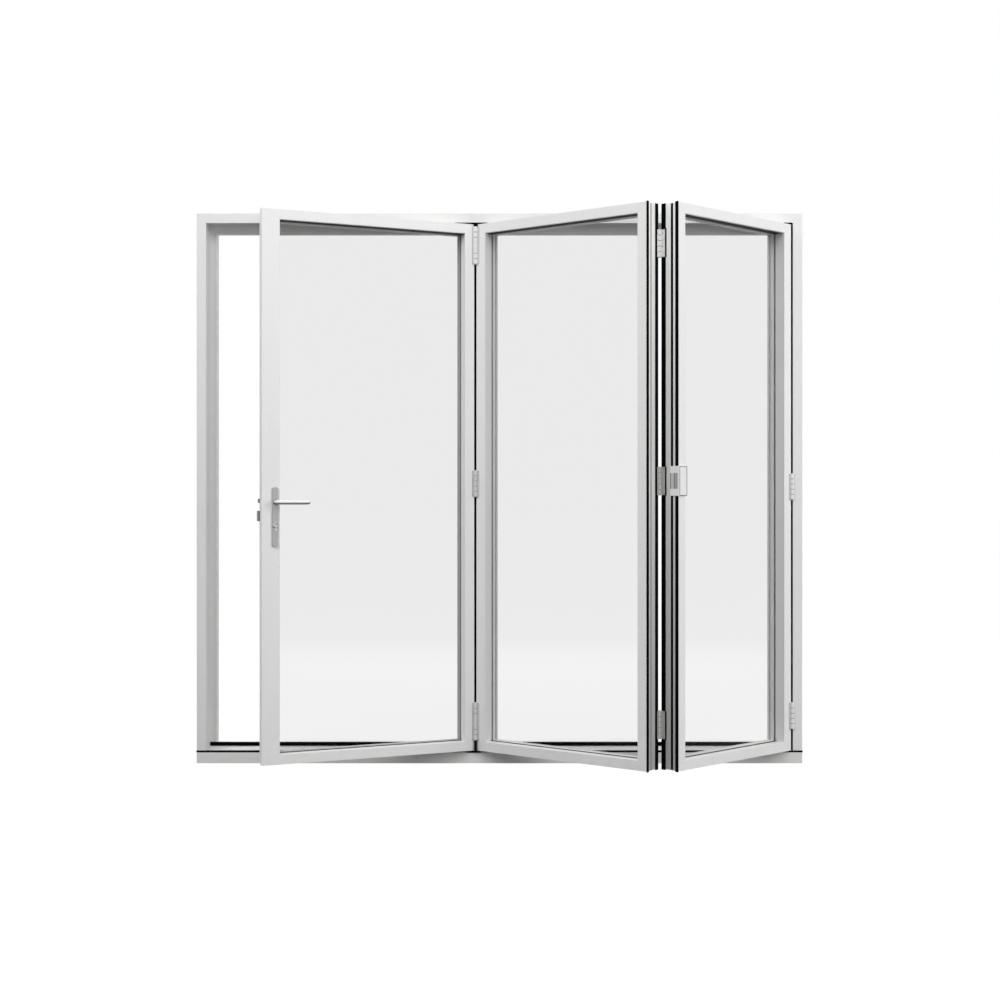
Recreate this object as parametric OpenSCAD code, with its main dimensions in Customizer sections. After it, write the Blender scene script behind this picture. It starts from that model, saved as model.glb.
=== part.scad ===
// Bifold glass patio door, three leaves, standing part open
// Millimetres, +Z up, viewer side (outside) towards -Y.
// The origin lies under the middle of the cill, half way through the frame's depth.

/* [Outer frame] */
// Overall width of the outer frame
frame_w = 2360; // [2100:5:2700]
// Height from the underside of the cill to the top of the head
frame_h = 2142; // [1900:5:2400]
// Width of the front face of the jambs and the head
frame_face = 37; // [32:1:60]
// How far the back stop stands in past the front face
stop_face = 30; // [22:1:40]
// Depth of the back stop from its face to the back of the frame
stop_d = 24; // [14:1:40]
// Thickness of the seal between the stop and the shut leaves
stop_seal_t = 4; // [2:0.5:8]
// Width of the seal on the stop of the head and the jambs
stop_seal_w = 6; // [4:0.5:12]
// Radius of the fixing holes through the jambs
fixing_r = 4; // [3:0.5:6]
// Height of the lowest and depth below the top of the highest fixing hole
fixing_in = 200; // [150:5:300]
// Width of the slot that the carriages run in
track_slot_w = 14; // [12:1:20]
// Distance of the track's middle from the front of the frame
track_y = 42; // [36:1:50]
// Width of the roller channel inside the head
track_w = 30; // [26:1:36]
// Height of the roller channel inside the head
track_h = 20; // [16:1:22]
// Thickness of the lips under the roller channel
track_lip = 7; // [5:0.5:9]

/* [Cill and threshold] */
// Height of the front face of the cill
cill_h = 43; // [35:1:60]
// Thickness of the cill under the threshold
cill_base = 20; // [12:1:26]
// Height of the black bed strip along the front
bed_strip_h = 7; // [5:0.5:10]
// Depth of the black bed strip from front to back
bed_strip_d = 12; // [8:1:18]
// How far the bed strip stands out past the frame, in front and at the ends
bed_strip_out = 1; // [0.5:0.5:3]
// Height of the threshold's walking surface above the cill
threshold_rise = 3; // [2:0.5:5]
// Height of the threshold's back stop above its walking surface
upstand_h = 24; // [18:1:32]
// Height of the black seal on the back stop
upstand_seal_h = 15; // [10:1:17]
// Depth of the guide slot in the threshold
guide_slot_h = 15; // [10:1:18]

/* [Leaves] */
// Width of leaf 1, the leaf with the lock
leaf_1_w = 842; // [760:2:900]
// Width of leaf 2, the middle leaf
leaf_2_w = 760; // [700:2:800]
// Thickness of a leaf from front to back
leaf_d = 80; // [76:1:90]
// Width of the front face of the stiles
stile_face = 37; // [32:1:50]
// Width of the front face of the lock stile
lock_stile_face = 68; // [66:1:90]
// Width of the front face of the top and bottom rails
rail_face = 37; // [32:1:60]
// Gap from one shut leaf to the next, and to the hinge jamb
leaf_gap = 7; // [6:0.5:9]
// Gap from the lock stile to the left jamb when shut
lock_gap = 5; // [3:0.5:8]
// Gap between the leaves and the head
leaf_top_gap = 6; // [5:0.5:10]
// Gap between the leaves and the threshold's walking surface
leaf_bottom_gap = 4; // [4:0.5:8]
// How far leaf 1 stands open, in degrees
leaf_1_open = 23.4; // [10:0.1:60]
// How far leaf 3 stands open, in degrees
leaf_3_open = 42.2; // [20:0.1:60]
// Depth of the step in the lock stile's free edge
lock_step = 12; // [8:1:14]
// Thickness of the lock stile's front flange, in front of the step
lock_flange_d = 25; // [18:1:30]

/* [Glazing] */
// Thickness of the sealed glass unit
glass_t = 24; // [20:1:28]
// Depth of the glazing pocket from the front face of a leaf
glass_in = 43; // [34:1:44]
// How far the glass unit reaches into the stiles and rails
glass_cover = 9; // [6:0.5:10]
// Clearance beyond the edge of the glass unit
glass_clear = 1; // [0.5:0.5:2]
// Thickness of the glazing seal on each face of the glass
glazing_seal_t = 3; // [2:0.5:4]
// How far the glazing seal shows past the edge of the stiles and rails
glazing_seal_out = 0.5; // [0.5:0.5:8]

/* [Edge seals] */
// How far the edge seals stand out from the leaf edges
edge_seal_out = 3; // [2:0.5:3]
// Depth of the front edge seal
edge_seal_front_d = 14; // [10:1:24]
// Depth of the back edge seal
edge_seal_back_d = 19; // [10:1:24]
// How far the edge seals run past the top and bottom of a leaf
edge_seal_over = 3; // [1:0.5:3]
// Depth of the narrow seal on the hinge edges
hinge_seal_d = 10; // [6:1:16]

/* [Hinges and carriages] */
// Distance of the hinge axis in front of the leaf face
hinge_off = 8; // [7.5:0.5:12]
// Radius of the hinge knuckles
knuckle_r = 7.5; // [5:0.5:7.5]
// Length of an ordinary hinge
hinge_l = 100; // [80:2:120]
// Length of the hinges that carry the carriages
carriage_hinge_l = 144; // [120:2:170]
// Thickness of the hinge plates in the gap between two leaves
hinge_plate_t = 2.5; // [2:0.1:3]
// How far the hinge plates reach in from the face
hinge_plate_d = 28; // [20:1:36]
// How far the fold hinges reach over leaf 2's edge from the inside face
fold_plate_2_d = 8; // [6:1:20]
// How far the fold hinges reach over leaf 3's edge from the inside face
fold_plate_3_d = 18; // [12:1:28]
// Width of the groove between two knuckles
knuckle_groove = 1; // [0.5:0.1:2]
// Middle height of the hinges half way up the joint of leaf 1 and leaf 2
joint_12_mid_z = 1090; // [900:5:1200]
// Middle height of the hinges half way up the joint of leaf 2 and leaf 3
joint_23_mid_z = 1095; // [900:5:1200]
// Middle height of the upper jamb hinge
jamb_mid_z = 1078; // [900:5:1200]
// Depth of the top carriage hinge below the top of the leaves
carriage_top_in = 11; // [8:1:40]
// Height of the bottom carriage hinge above the bottom of the leaves
carriage_bottom_in = 43; // [20:1:60]
// Depth of the upper fold hinge below the top of the leaves
fold_top_in = 90; // [60:5:150]
// Height of the lower fold hinge above the bottom of the leaves
fold_bottom_in = 109; // [60:1:150]
// Height of the lower jamb hinge above the bottom of the leaves
jamb_bottom_in = 87; // [60:1:150]
// Radius of the carriage pins
carriage_pin_r = 4.5; // [3:0.5:5]
// Thickness of the carriage arms in the gaps above and below the leaves
carriage_arm_t = 3; // [2:0.5:3]
// Length of the roller block in the head
trolley_l = 90; // [60:5:140]
// Radius of the trolley's rollers
roller_r = 8; // [6:0.5:8]

/* [Lock and handles] */
// Distance of the spindle and the key from the free edge of the lock stile
backset = 50; // [49:0.5:52]
// Height of the lever's spindle
lever_z = 1018; // [950:5:1100]
// Distance from the spindle down to the key cylinder
key_drop = 85; // [80:1:92]
// Height of the handle plates
plate_h = 218; // [200:2:250]
// Width of the handle plates
plate_w = 22; // [22:1:30]
// Corner radius of the handle plates
plate_corner = 7; // [4:1:10]
// Thickness of the handle plates
plate_t = 8; // [6:0.5:12]
// How far the plate reaches above the spindle
plate_up = 55; // [40:1:70]
// Length of the lever from the spindle's middle to its tip
lever_l = 122; // [100:2:140]
// Radius of the lever bar
lever_r = 9; // [7:0.5:10]
// Distance of the lever's middle from the face of the leaf
lever_out = 46; // [40:1:60]
// Radius of the spindle
spindle_r = 4.5; // [3.5:0.5:5]
// Clearance around the spindle, the latch and the bolt
lock_clear = 0.4; // [0.3:0.1:0.8]
// Thickness of the lock's edge plate
lock_plate_t = 3; // [2:0.5:4]
// Width of the lock's edge plate
lock_plate_w = 22; // [20:1:26]
// Height of the lock's edge plate
lock_plate_h = 230; // [200:5:280]
// Width of the latch and the deadbolt from front to back
bolt_w = 14; // [10:1:16]
// Height of the latch
latch_h = 16; // [12:1:22]
// How far the latch sticks out of the lock's edge plate
latch_out = 11; // [7:0.5:12]
// Distance from the spindle up to the middle of the latch
latch_up = 5; // [0:0.5:6]
// Height of the deadbolt
deadbolt_h = 39; // [30:1:42]
// How far the deadbolt sticks out of the lock's edge plate
deadbolt_out = 12.5; // [8:0.5:16]
// Distance from the spindle down to the middle of the deadbolt
deadbolt_drop = 51; // [46:1:54]
// Length of the latch and the deadbolt behind the face of the edge plate
bolt_tail = 18; // [14:1:20]
// Radius of the key cylinder
key_r = 8; // [7.5:0.1:8.5]
// Radius of the key cylinder's lower lobe
key_lobe_r = 5; // [4:0.1:5.5]
// Drop of the lower lobe below the key cylinder's middle
key_lobe_drop = 16; // [12:0.5:18]
// How far the key cylinder stands out past the handle plates
key_out = 3; // [1:0.5:5]

/* [Folding pull] */
// Height of the pull plate on leaf 3
pull_h = 107; // [80:1:140]
// Width of the pull plate
pull_w = 42; // [38:1:60]
// Thickness of the pull plate
pull_t = 4; // [2:0.5:6]
// Height of each of the two lugs around the leaf edge
pull_lug_h = 25; // [15:1:35]
// Depth of the lugs on the leaf edge
pull_lug_d = 36; // [30:1:44]

/* [Hidden] */
$fn = 48;

white = "whitesmoke";
black = [0.08, 0.08, 0.08];
grey = [0.5, 0.5, 0.5];
steel = "silver";
clear = [0.8, 0.85, 0.85, 0.4];
over = 1;
join = 2;
slide_clear = 0.3;

frame_d = leaf_d + stop_seal_t + stop_d;
stop_y = leaf_d + stop_seal_t;
inner_x = frame_w / 2 - frame_face;
stop_x = inner_x - stop_face;
head_z = frame_h - frame_face;
bed_z = cill_h + bed_strip_h;
floor_z = cill_h + threshold_rise;
upstand_z = floor_z + upstand_h;
leaf_z0 = floor_z + leaf_bottom_gap;
leaf_z1 = head_z - leaf_top_gap;
leaf_h = leaf_z1 - leaf_z0;
top_arm_z = leaf_z1 + (leaf_top_gap - carriage_arm_t) / 2;
bottom_arm_z = leaf_z0 - (leaf_bottom_gap + carriage_arm_t) / 2;
leaf_3_w = 2 * inner_x - lock_gap - 3 * leaf_gap - leaf_1_w - leaf_2_w;

// The fold closes on itself: leaf 3 swings out from the jamb and leaf 2 comes back
// to the track line, so the angle of leaf 2 follows from the angle of leaf 3.
fold_k = leaf_d + 2 * hinge_off;
fold_reach = (leaf_3_w + leaf_gap) * sin(leaf_3_open) - fold_k * cos(leaf_3_open);
fold_arm = leaf_2_w + leaf_gap;
leaf_2_open = asin(fold_reach / norm([fold_arm, fold_k])) + atan2(fold_k, fold_arm);
jamb_axis = [inner_x - leaf_gap / 2, -hinge_off, 0];
fold_axis = jamb_axis
  - (leaf_3_w + leaf_gap) * [cos(leaf_3_open), sin(leaf_3_open), 0]
  + fold_k * [-sin(leaf_3_open), cos(leaf_3_open), 0];
joint_axis = fold_axis
  - fold_arm * [cos(leaf_2_open), -sin(leaf_2_open), 0]
  - fold_k * [sin(leaf_2_open), cos(leaf_2_open), 0];

key_z = lever_z - key_drop;
latch_z = lever_z + latch_up;
deadbolt_z = lever_z - deadbolt_drop;
lock_y = (lock_flange_d + leaf_d) / 2;
lock_plate_x = lock_step - lock_plate_t;
lock_pocket_x = lock_plate_x + bolt_tail + deadbolt_out + 1;
pocket_d = glass_t + 2 * glazing_seal_t;
groove = glass_cover + glass_clear;

// Places

module at_frame() translate([0, -frame_d / 2, 0]) children();

// Local X runs from the hinge edge (0) to the free edge (minus the width)
module at_leaf_1() at_frame()
  translate(joint_axis) rotate(leaf_1_open) translate([-leaf_gap / 2, hinge_off, 0]) children();

// Local X runs from the edge at leaf 1 (0) to the edge at leaf 3 (plus the width)
module at_leaf_2() at_frame()
  translate(joint_axis) rotate(-leaf_2_open) translate([leaf_gap / 2, hinge_off, 0]) children();

// Local X runs from the jamb edge (0) to the edge at leaf 2 (minus the width)
module at_leaf_3() at_frame()
  translate(jamb_axis) rotate(leaf_3_open) translate([-leaf_gap / 2, hinge_off, 0]) children();

// Local X is the distance from the free edge of the lock stile
module at_lock() at_leaf_1() translate([-leaf_1_w, 0, 0]) children();

// A prism that stands through the thickness d, with its outline given as X and Z
module slab(points, y0, d) translate([0, y0 + d, 0]) rotate([90, 0, 0]) linear_extrude(d) polygon(points);

// A box between two corners
module box(p, q) translate(p) cube(q - p);

// Outer frame

module frame_profile() {
  difference() {
    box([-frame_w / 2, 0, floor_z], [frame_w / 2, frame_d, frame_h]);
    box([-inner_x, -over, -over], [inner_x, stop_y, head_z]);
    box([-stop_x, -over, -over], [stop_x, frame_d + over, head_z - stop_face]);
    box([-inner_x, stop_y - over, -over], [inner_x, frame_d + over, upstand_z]);
  }
}

// The mitre at both ends of the head runs through the corners of the frame
mitre = frame_face + stop_face;

module jamb(side) {
  outer = side * frame_w / 2;
  inner = side * (frame_w / 2 - mitre);
  difference() {
    intersection() {
      frame_profile();
      slab([[outer, 0], [outer, frame_h], [inner, frame_h - mitre], [inner, 0]], -over, frame_d + 2 * over);
    }
    box([-frame_w, -over, -over], [frame_w, bed_strip_d, bed_z]);
    for (z = fixing_heights())
      translate([side * (inner_x - over), track_y, z]) rotate([0, side * 90, 0])
        cylinder(r = fixing_r, h = frame_face + 2 * over);
  }
}

function fixing_heights() =
  let (low = floor_z + fixing_in, high = frame_h - fixing_in, step = (high - low) / 3)
  [for (i = [0 : 3]) low + i * step];

module left_jamb() color(white) at_frame() jamb(-1);

module right_jamb() color(white) at_frame() jamb(1);

module head() {
  lip_z = head_z + track_lip;
  color(white) at_frame() difference() {
    intersection() {
      frame_profile();
      slab([[-frame_w / 2, frame_h], [frame_w / 2, frame_h],
        [frame_w / 2 - mitre, frame_h - mitre], [mitre - frame_w / 2, frame_h - mitre]],
        -over, frame_d + 2 * over);
    }
    box([-inner_x, track_y - track_slot_w / 2, head_z - over],
      [inner_x, track_y + track_slot_w / 2, lip_z + over]);
    box([-inner_x, track_y - track_w / 2, lip_z], [inner_x, track_y + track_w / 2, lip_z + track_h]);
  }
}

module stop_seal() {
  y0 = leaf_d;
  in = stop_x + 1;
  top = head_z - stop_face + 1;
  color(grey) at_frame() {
    for (side = [-1, 1]) mirror([side < 0 ? 1 : 0, 0, 0])
      box([in, y0, upstand_z], [in + stop_seal_w, stop_y, top + stop_seal_w]);
    box([-in, y0, top], [in, stop_y, top + stop_seal_w]);
  }
}

module upstand_seal() color(black) at_frame()
  box([-inner_x, leaf_d, upstand_z - upstand_seal_h], [inner_x, stop_y, upstand_z]);

// Cill and threshold

module cill() {
  color(white) at_frame() difference() {
    box([-frame_w / 2, 0, 0], [frame_w / 2, frame_d, cill_h]);
    box([-frame_w, bed_strip_d, cill_base], [frame_w, frame_d + over, cill_h + over]);
  }
}

module threshold() {
  color("lightgray") at_frame() difference() {
    union() {
      box([-frame_w / 2, bed_strip_d, cill_base], [frame_w / 2, frame_d, floor_z]);
      box([-inner_x, stop_y, floor_z - over], [inner_x, frame_d, upstand_z]);
    }
    box([-inner_x, track_y - track_slot_w / 2, floor_z - guide_slot_h],
      [inner_x, track_y + track_slot_w / 2, floor_z + over]);
  }
}

// The soft strip is pressed down under the arm of the bottom carriage
module bed_strip() {
  x = frame_w / 2 + bed_strip_out;
  arm_half = knuckle_r + 1;
  color(black) at_frame() difference() {
    box([-x, -bed_strip_out, cill_h], [x, bed_strip_d, bed_z]);
    box([-inner_x, bed_strip_out, leaf_z0 - 1], [inner_x, bed_strip_d + over, bed_z + over]);
    box([joint_axis[0] - arm_half, -2 * bed_strip_out, bottom_arm_z - slide_clear],
      [joint_axis[0] + arm_half, bed_strip_d + over, bed_z + over]);
  }
}

// Leaves: a frame of width w with faces a and b on its low and high X side

module sash(w, a, b) {
  difference() {
    box([0, 0, leaf_z0], [w, leaf_d, leaf_z1]);
    box([a, -over, leaf_z0 + rail_face], [w - b, leaf_d + over, leaf_z1 - rail_face]);
    box([a - groove, glass_in, leaf_z0 + rail_face - groove],
      [w - b + groove, glass_in + pocket_d, leaf_z1 - rail_face + groove]);
  }
}

module sash_member(w, a, b, which) {
  z0 = leaf_z0;
  z1 = leaf_z1;
  low = z0 + rail_face;
  high = z1 - rail_face;
  outline = which == "low" ? [[0, z0], [0, z1], [a, high], [a, low]]
    : which == "high" ? [[w, z0], [w, z1], [w - b, high], [w - b, low]]
    : which == "top" ? [[0, z1], [w, z1], [w - b, high], [a, high]]
    : [[0, z0], [w, z0], [w - b, low], [a, low]];
  intersection() {
    sash(w, a, b);
    slab(outline, -over, leaf_d + 2 * over);
  }
}

module pane(w, a, b) {
  x = glass_cover;
  y = glass_in + glazing_seal_t;
  box([a - x, y, leaf_z0 + rail_face - x], [w - b + x, y + glass_t, leaf_z1 - rail_face + x]);
}

module glazing_seal(w, a, b) {
  out = glazing_seal_out;
  for (y = [glass_in, glass_in + glazing_seal_t + glass_t]) difference() {
    box([a - glass_cover, y, leaf_z0 + rail_face - glass_cover],
      [w - b + glass_cover, y + glazing_seal_t, leaf_z1 - rail_face + glass_cover]);
    box([a + out, y - over, leaf_z0 + rail_face + out],
      [w - b - out, y + glazing_seal_t + over, leaf_z1 - rail_face - out]);
  }
}

module leaf_1_part(which) color(white) at_lock() difference() {
  sash_member(leaf_1_w, lock_stile_face, stile_face, which);
  box([-over, lock_flange_d, 0], [lock_step, leaf_d + over, frame_h]);
}

module leaf_2_part(which) color(white) at_leaf_2() sash_member(leaf_2_w, stile_face, stile_face, which);

module leaf_3_part(which)
  color(white) at_leaf_3() translate([-leaf_3_w, 0, 0]) sash_member(leaf_3_w, stile_face, stile_face, which);

module leaf_1_lock_stile() difference() {
  leaf_1_part("low");
  at_lock() {
    lock_pocket(latch_z, latch_h);
    lock_pocket(deadbolt_z, deadbolt_h);
    translate([backset, -over, lever_z]) rotate([-90, 0, 0])
      cylinder(r = spindle_r + lock_clear, h = leaf_d + 2 * over);
    key_shape(lock_clear, -over, leaf_d + over);
  }
}

module lock_pocket(z, h) {
  c = lock_clear;
  box([lock_step - over, lock_y - bolt_w / 2 - c, z - h / 2 - c],
    [lock_pocket_x, lock_y + bolt_w / 2 + c, z + h / 2 + c]);
}

module leaf_1_hinge_stile() leaf_1_part("high");

module leaf_1_top_rail() leaf_1_part("top");

module leaf_1_bottom_rail() leaf_1_part("bottom");

module leaf_1_glass() color(clear) at_lock() pane(leaf_1_w, lock_stile_face, stile_face);

module leaf_1_glazing_seal() color(black) at_lock() glazing_seal(leaf_1_w, lock_stile_face, stile_face);

module leaf_2_left_stile() leaf_2_part("low");

module leaf_2_right_stile() leaf_2_part("high");

module leaf_2_top_rail() leaf_2_part("top");

module leaf_2_bottom_rail() leaf_2_part("bottom");

module leaf_2_glass() color(clear) at_leaf_2() pane(leaf_2_w, stile_face, stile_face);

module leaf_2_glazing_seal() color(black) at_leaf_2() glazing_seal(leaf_2_w, stile_face, stile_face);

module leaf_3_left_stile() leaf_3_part("low");

module leaf_3_right_stile() leaf_3_part("high");

module leaf_3_top_rail() leaf_3_part("top");

module leaf_3_bottom_rail() leaf_3_part("bottom");

module leaf_3_glass()
  color(clear) at_leaf_3() translate([-leaf_3_w, 0, 0]) pane(leaf_3_w, stile_face, stile_face);

module leaf_3_glazing_seal()
  color(black) at_leaf_3() translate([-leaf_3_w, 0, 0]) glazing_seal(leaf_3_w, stile_face, stile_face);

// Edge seals: black strips up the leaf edges, left out where a hinge plate lies

// Height spans of the hinges on each joint, as [low, high]
joint_12_spans = [
  [leaf_z1 - carriage_top_in - carriage_hinge_l, leaf_z1 - carriage_top_in],
  [joint_12_mid_z - hinge_l / 2, joint_12_mid_z + hinge_l / 2],
  [leaf_z0 + carriage_bottom_in, leaf_z0 + carriage_bottom_in + carriage_hinge_l]
];
joint_23_spans = [
  [leaf_z1 - fold_top_in - hinge_l, leaf_z1 - fold_top_in],
  [joint_23_mid_z - hinge_l / 2, joint_23_mid_z + hinge_l / 2],
  [leaf_z0 + fold_bottom_in, leaf_z0 + fold_bottom_in + hinge_l]
];
jamb_spans = [
  [jamb_mid_z - hinge_l / 2, jamb_mid_z + hinge_l / 2],
  [leaf_z0 + jamb_bottom_in, leaf_z0 + jamb_bottom_in + hinge_l]
];

// A strip on the leaf edge at x, on the side given, between the depths y0 and y1
module edge_strip(x, side, y0, y1, z0, z1, spans) {
  difference() {
    translate([side < 0 ? x - edge_seal_out : x, y0, z0]) cube([edge_seal_out, y1 - y0, z1 - z0]);
    for (s = spans) translate([x - leaf_gap, y0 - over, s[0] - over])
      cube([2 * leaf_gap, y1 - y0 + 2 * over, s[1] - s[0] + 2 * over]);
  }
}

module hinge_edge_strip(side, spans) edge_strip(0, side, 1, 1 + hinge_seal_d, leaf_z0, leaf_z1, spans);

module fold_edge_strips(x, side, front_spans) {
  z0 = leaf_z0 - edge_seal_over;
  z1 = leaf_z1 + edge_seal_over;
  edge_strip(x, side, 0, edge_seal_front_d, z0, z1, front_spans);
  edge_strip(x, side, leaf_d - edge_seal_back_d, leaf_d, z0, z1, joint_23_spans);
}

module leaf_1_edge_seal() color(black) at_leaf_1() hinge_edge_strip(1, joint_12_spans);

module leaf_2_edge_seal() color(black) at_leaf_2() {
  hinge_edge_strip(-1, joint_12_spans);
  fold_edge_strips(leaf_2_w, 1, []);
}

module leaf_3_edge_seal() color(black) at_leaf_3() {
  hinge_edge_strip(1, jamb_spans);
  fold_edge_strips(-leaf_3_w, -1, pull_spans);
}

// Hinges: a row of knuckles on the axis and one plate on each side

// The seams of the round faces point towards the angle turn, away from the plates
module knuckles(span, count, turn) {
  pitch = (span[1] - span[0]) / count;
  half = knuckle_groove / 2;
  core = knuckle_r - 1;
  steps = [for (i = [0 : count - 1]) each [
    [core, i * pitch], [core, i * pitch + half], [knuckle_r, i * pitch + half],
    [knuckle_r, (i + 1) * pitch - half], [core, (i + 1) * pitch - half]]];
  translate([0, 0, span[0]]) rotate(turn) rotate_extrude()
    polygon(concat([[0, 0]], steps, [[core, count * pitch], [0, count * pitch]]));
}

// A plate in the gap beside the edge at x, from the hinge axis into the joint, a groove short of the
// barrel at both ends
module hinge_plate(x, side, y0, y1, span)
  translate([side < 0 ? x - hinge_plate_t : x, y0, span[0] + knuckle_groove])
    cube([hinge_plate_t, y1 - y0, span[1] - span[0] - 2 * knuckle_groove]);

module front_plate(side, span) hinge_plate(0, side, -hinge_off, hinge_plate_d, span);

module back_plate(x, side, d, span) hinge_plate(x, side, leaf_d - d, leaf_d + hinge_off, span);

module joint_12_hinge(span, count) color(steel) {
  at_frame() translate(joint_axis) knuckles(span, count, -90);
  at_leaf_1() front_plate(1, span);
  at_leaf_2() front_plate(-1, span);
}

module joint_23_hinge(span) color(steel) {
  at_frame() translate(fold_axis) knuckles(span, 5, 90);
  at_leaf_2() back_plate(leaf_2_w, 1, fold_plate_2_d, span);
  at_leaf_3() back_plate(-leaf_3_w, -1, fold_plate_3_d, span);
}

module jamb_hinge(span) color(steel) {
  at_frame() {
    translate(jamb_axis) knuckles(span, 5, -90);
    hinge_plate(inner_x, -1, -hinge_off, hinge_plate_d, span);
  }
  at_leaf_3() front_plate(1, span);
}

module top_carriage_hinge() joint_12_hinge(joint_12_spans[0], 7);

module middle_leaf_hinge() joint_12_hinge(joint_12_spans[1], 5);

module bottom_carriage_hinge() joint_12_hinge(joint_12_spans[2], 7);

module upper_fold_hinge() joint_23_hinge(joint_23_spans[0]);

module middle_fold_hinge() joint_23_hinge(joint_23_spans[1]);

module lower_fold_hinge() joint_23_hinge(joint_23_spans[2]);

module upper_jamb_hinge() jamb_hinge(jamb_spans[0]);

module lower_jamb_hinge() jamb_hinge(jamb_spans[1]);

// Carriages: a pin out of the hinge, a flat arm in the gap and a block in the track

module carriage_arm(z) {
  r = knuckle_r;
  track = [joint_axis[0], track_y, z];
  translate([joint_axis[0], joint_axis[1], z]) cylinder(r = r, h = carriage_arm_t);
  translate(track) cylinder(r = r, h = carriage_arm_t);
  box([joint_axis[0] - r, joint_axis[1], z], [joint_axis[0] + r, track_y, z + carriage_arm_t]);
}

module top_carriage() {
  lip_z = head_z + track_lip;
  color(steel) at_frame() {
    carriage_arm(top_arm_z);
    translate([joint_axis[0], joint_axis[1], joint_12_spans[0][1]])
      cylinder(r = carriage_pin_r, h = top_arm_z - joint_12_spans[0][1] + join);
    translate([joint_axis[0], track_y, top_arm_z])
      cylinder(r = carriage_pin_r, h = lip_z + roller_r - top_arm_z);
    translate([joint_axis[0] - trolley_l / 2, track_y - track_slot_w / 2 + 1, lip_z + 1])
      cube([trolley_l, track_slot_w - 2, track_h - 3]);
    for (x = [-1, 1]) translate([joint_axis[0] + x * (trolley_l / 2 - roller_r), track_y, lip_z + roller_r])
      rotate([90, 0, 0]) cylinder(r = roller_r, h = track_w - 2, center = true);
  }
}

module bottom_carriage() {
  color(steel) at_frame() {
    carriage_arm(bottom_arm_z);
    translate([joint_axis[0], joint_axis[1], bottom_arm_z])
      cylinder(r = carriage_pin_r, h = joint_12_spans[2][0] - bottom_arm_z);
    translate([joint_axis[0], track_y, floor_z - guide_slot_h])
      cylinder(r = track_slot_w / 2 - slide_clear, h = bottom_arm_z - floor_z + guide_slot_h + join);
  }
}

// Lock and handles

module key_shape(c, y0, y1) {
  translate([backset, y0, key_z]) rotate([-90, 0, 0]) {
    cylinder(r = key_r + c, h = y1 - y0);
    translate([0, key_lobe_drop, 0]) cylinder(r = key_lobe_r + c, h = y1 - y0);
    translate([-key_lobe_r - c, 0, 0]) cube([2 * (key_lobe_r + c), key_lobe_drop, y1 - y0]);
  }
}

module key_cylinder() {
  y0 = -plate_t - key_out;
  y1 = leaf_d + plate_t + key_out;
  color(steel) at_lock() difference() {
    key_shape(0, y0, y1);
    for (y = [y0 - over, y1 - key_out]) translate([backset - 1, y, key_z - 4]) cube([2, key_out + over, 8]);
  }
}

module lock_edge_plate() {
  c = lock_clear;
  color(steel) at_lock() difference() {
    box([lock_plate_x, lock_y - lock_plate_w / 2, deadbolt_z - lock_plate_h / 2],
      [lock_step, lock_y + lock_plate_w / 2, deadbolt_z + lock_plate_h / 2]);
    for (b = [[latch_z, latch_h], [deadbolt_z, deadbolt_h]])
      box([lock_plate_x - over, lock_y - bolt_w / 2 - c, b[0] - b[1] / 2 - c],
        [lock_step + over, lock_y + bolt_w / 2 + c, b[0] + b[1] / 2 + c]);
  }
}

// The latch slopes on its back side, where it meets the jamb as the leaf shuts
module latch() {
  tip = lock_plate_x - latch_out;
  tail = lock_plate_x + bolt_tail;
  low = lock_y - bolt_w / 2;
  high = lock_y + bolt_w / 2;
  color(steel) at_lock() translate([0, 0, latch_z - latch_h / 2]) linear_extrude(latch_h)
    polygon([[tip, low], [tail, low], [tail, high], [lock_plate_x, high], [tip, low + bolt_w / 3]]);
}

module deadbolt() {
  color(steel) at_lock() box(
    [lock_plate_x - deadbolt_out, lock_y - bolt_w / 2, deadbolt_z - deadbolt_h / 2],
    [lock_plate_x + bolt_tail, lock_y + bolt_w / 2, deadbolt_z + deadbolt_h / 2]);
}

module handle_plate(y0) {
  half = plate_w / 2;
  r = plate_corner;
  top = lever_z + plate_up;
  low = top - plate_h;
  difference() {
    translate([backset, y0 + plate_t, 0]) rotate([90, 0, 0]) {
      for (x = [r - half, half - r], z = [low + r, top - r]) translate([x, z, 0]) cylinder(r = r, h = plate_t);
      translate([-half, low + r, 0]) cube([plate_w, plate_h - 2 * r, plate_t]);
      translate([r - half, low, 0]) cube([plate_w - 2 * r, plate_h, plate_t]);
    }
    translate([backset, y0 - over, lever_z]) rotate([-90, 0, 0])
      cylinder(r = lever_r + lock_clear, h = plate_t + 2 * over);
    key_shape(lock_clear, y0 - over, y0 + plate_t + over);
  }
}

module front_handle_plate() color(steel) at_lock() handle_plate(-plate_t);

module back_handle_plate() color(steel) at_lock() handle_plate(leaf_d);

// One lever with its neck, for the face at y = 0 and towards the viewer
module lever() {
  translate([backset, -lever_out, lever_z]) {
    rotate([-90, 0, 0]) cylinder(r = lever_r, h = lever_out - 0.5);
    sphere(r = lever_r);
    rotate([0, 90, 0]) cylinder(r = lever_r, h = lever_l - lever_r);
    translate([lever_l - lever_r, 0, 0]) sphere(r = lever_r);
  }
}

module lever_handle() {
  color(steel) at_lock() {
    lever();
    translate([0, leaf_d, 0]) mirror([0, 1, 0]) lever();
    translate([backset, -join, lever_z]) rotate([-90, 0, 0]) cylinder(r = spindle_r, h = leaf_d + 2 * join);
  }
}

// Folding pull: a plate on leaf 3's free stile with two lugs around the edge

pull_z0 = joint_23_mid_z - pull_h / 2;
pull_z1 = joint_23_mid_z + pull_h / 2;
pull_spans = [[pull_z0, pull_z0 + pull_lug_h], [pull_z1 - pull_lug_h, pull_z1]];

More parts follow.
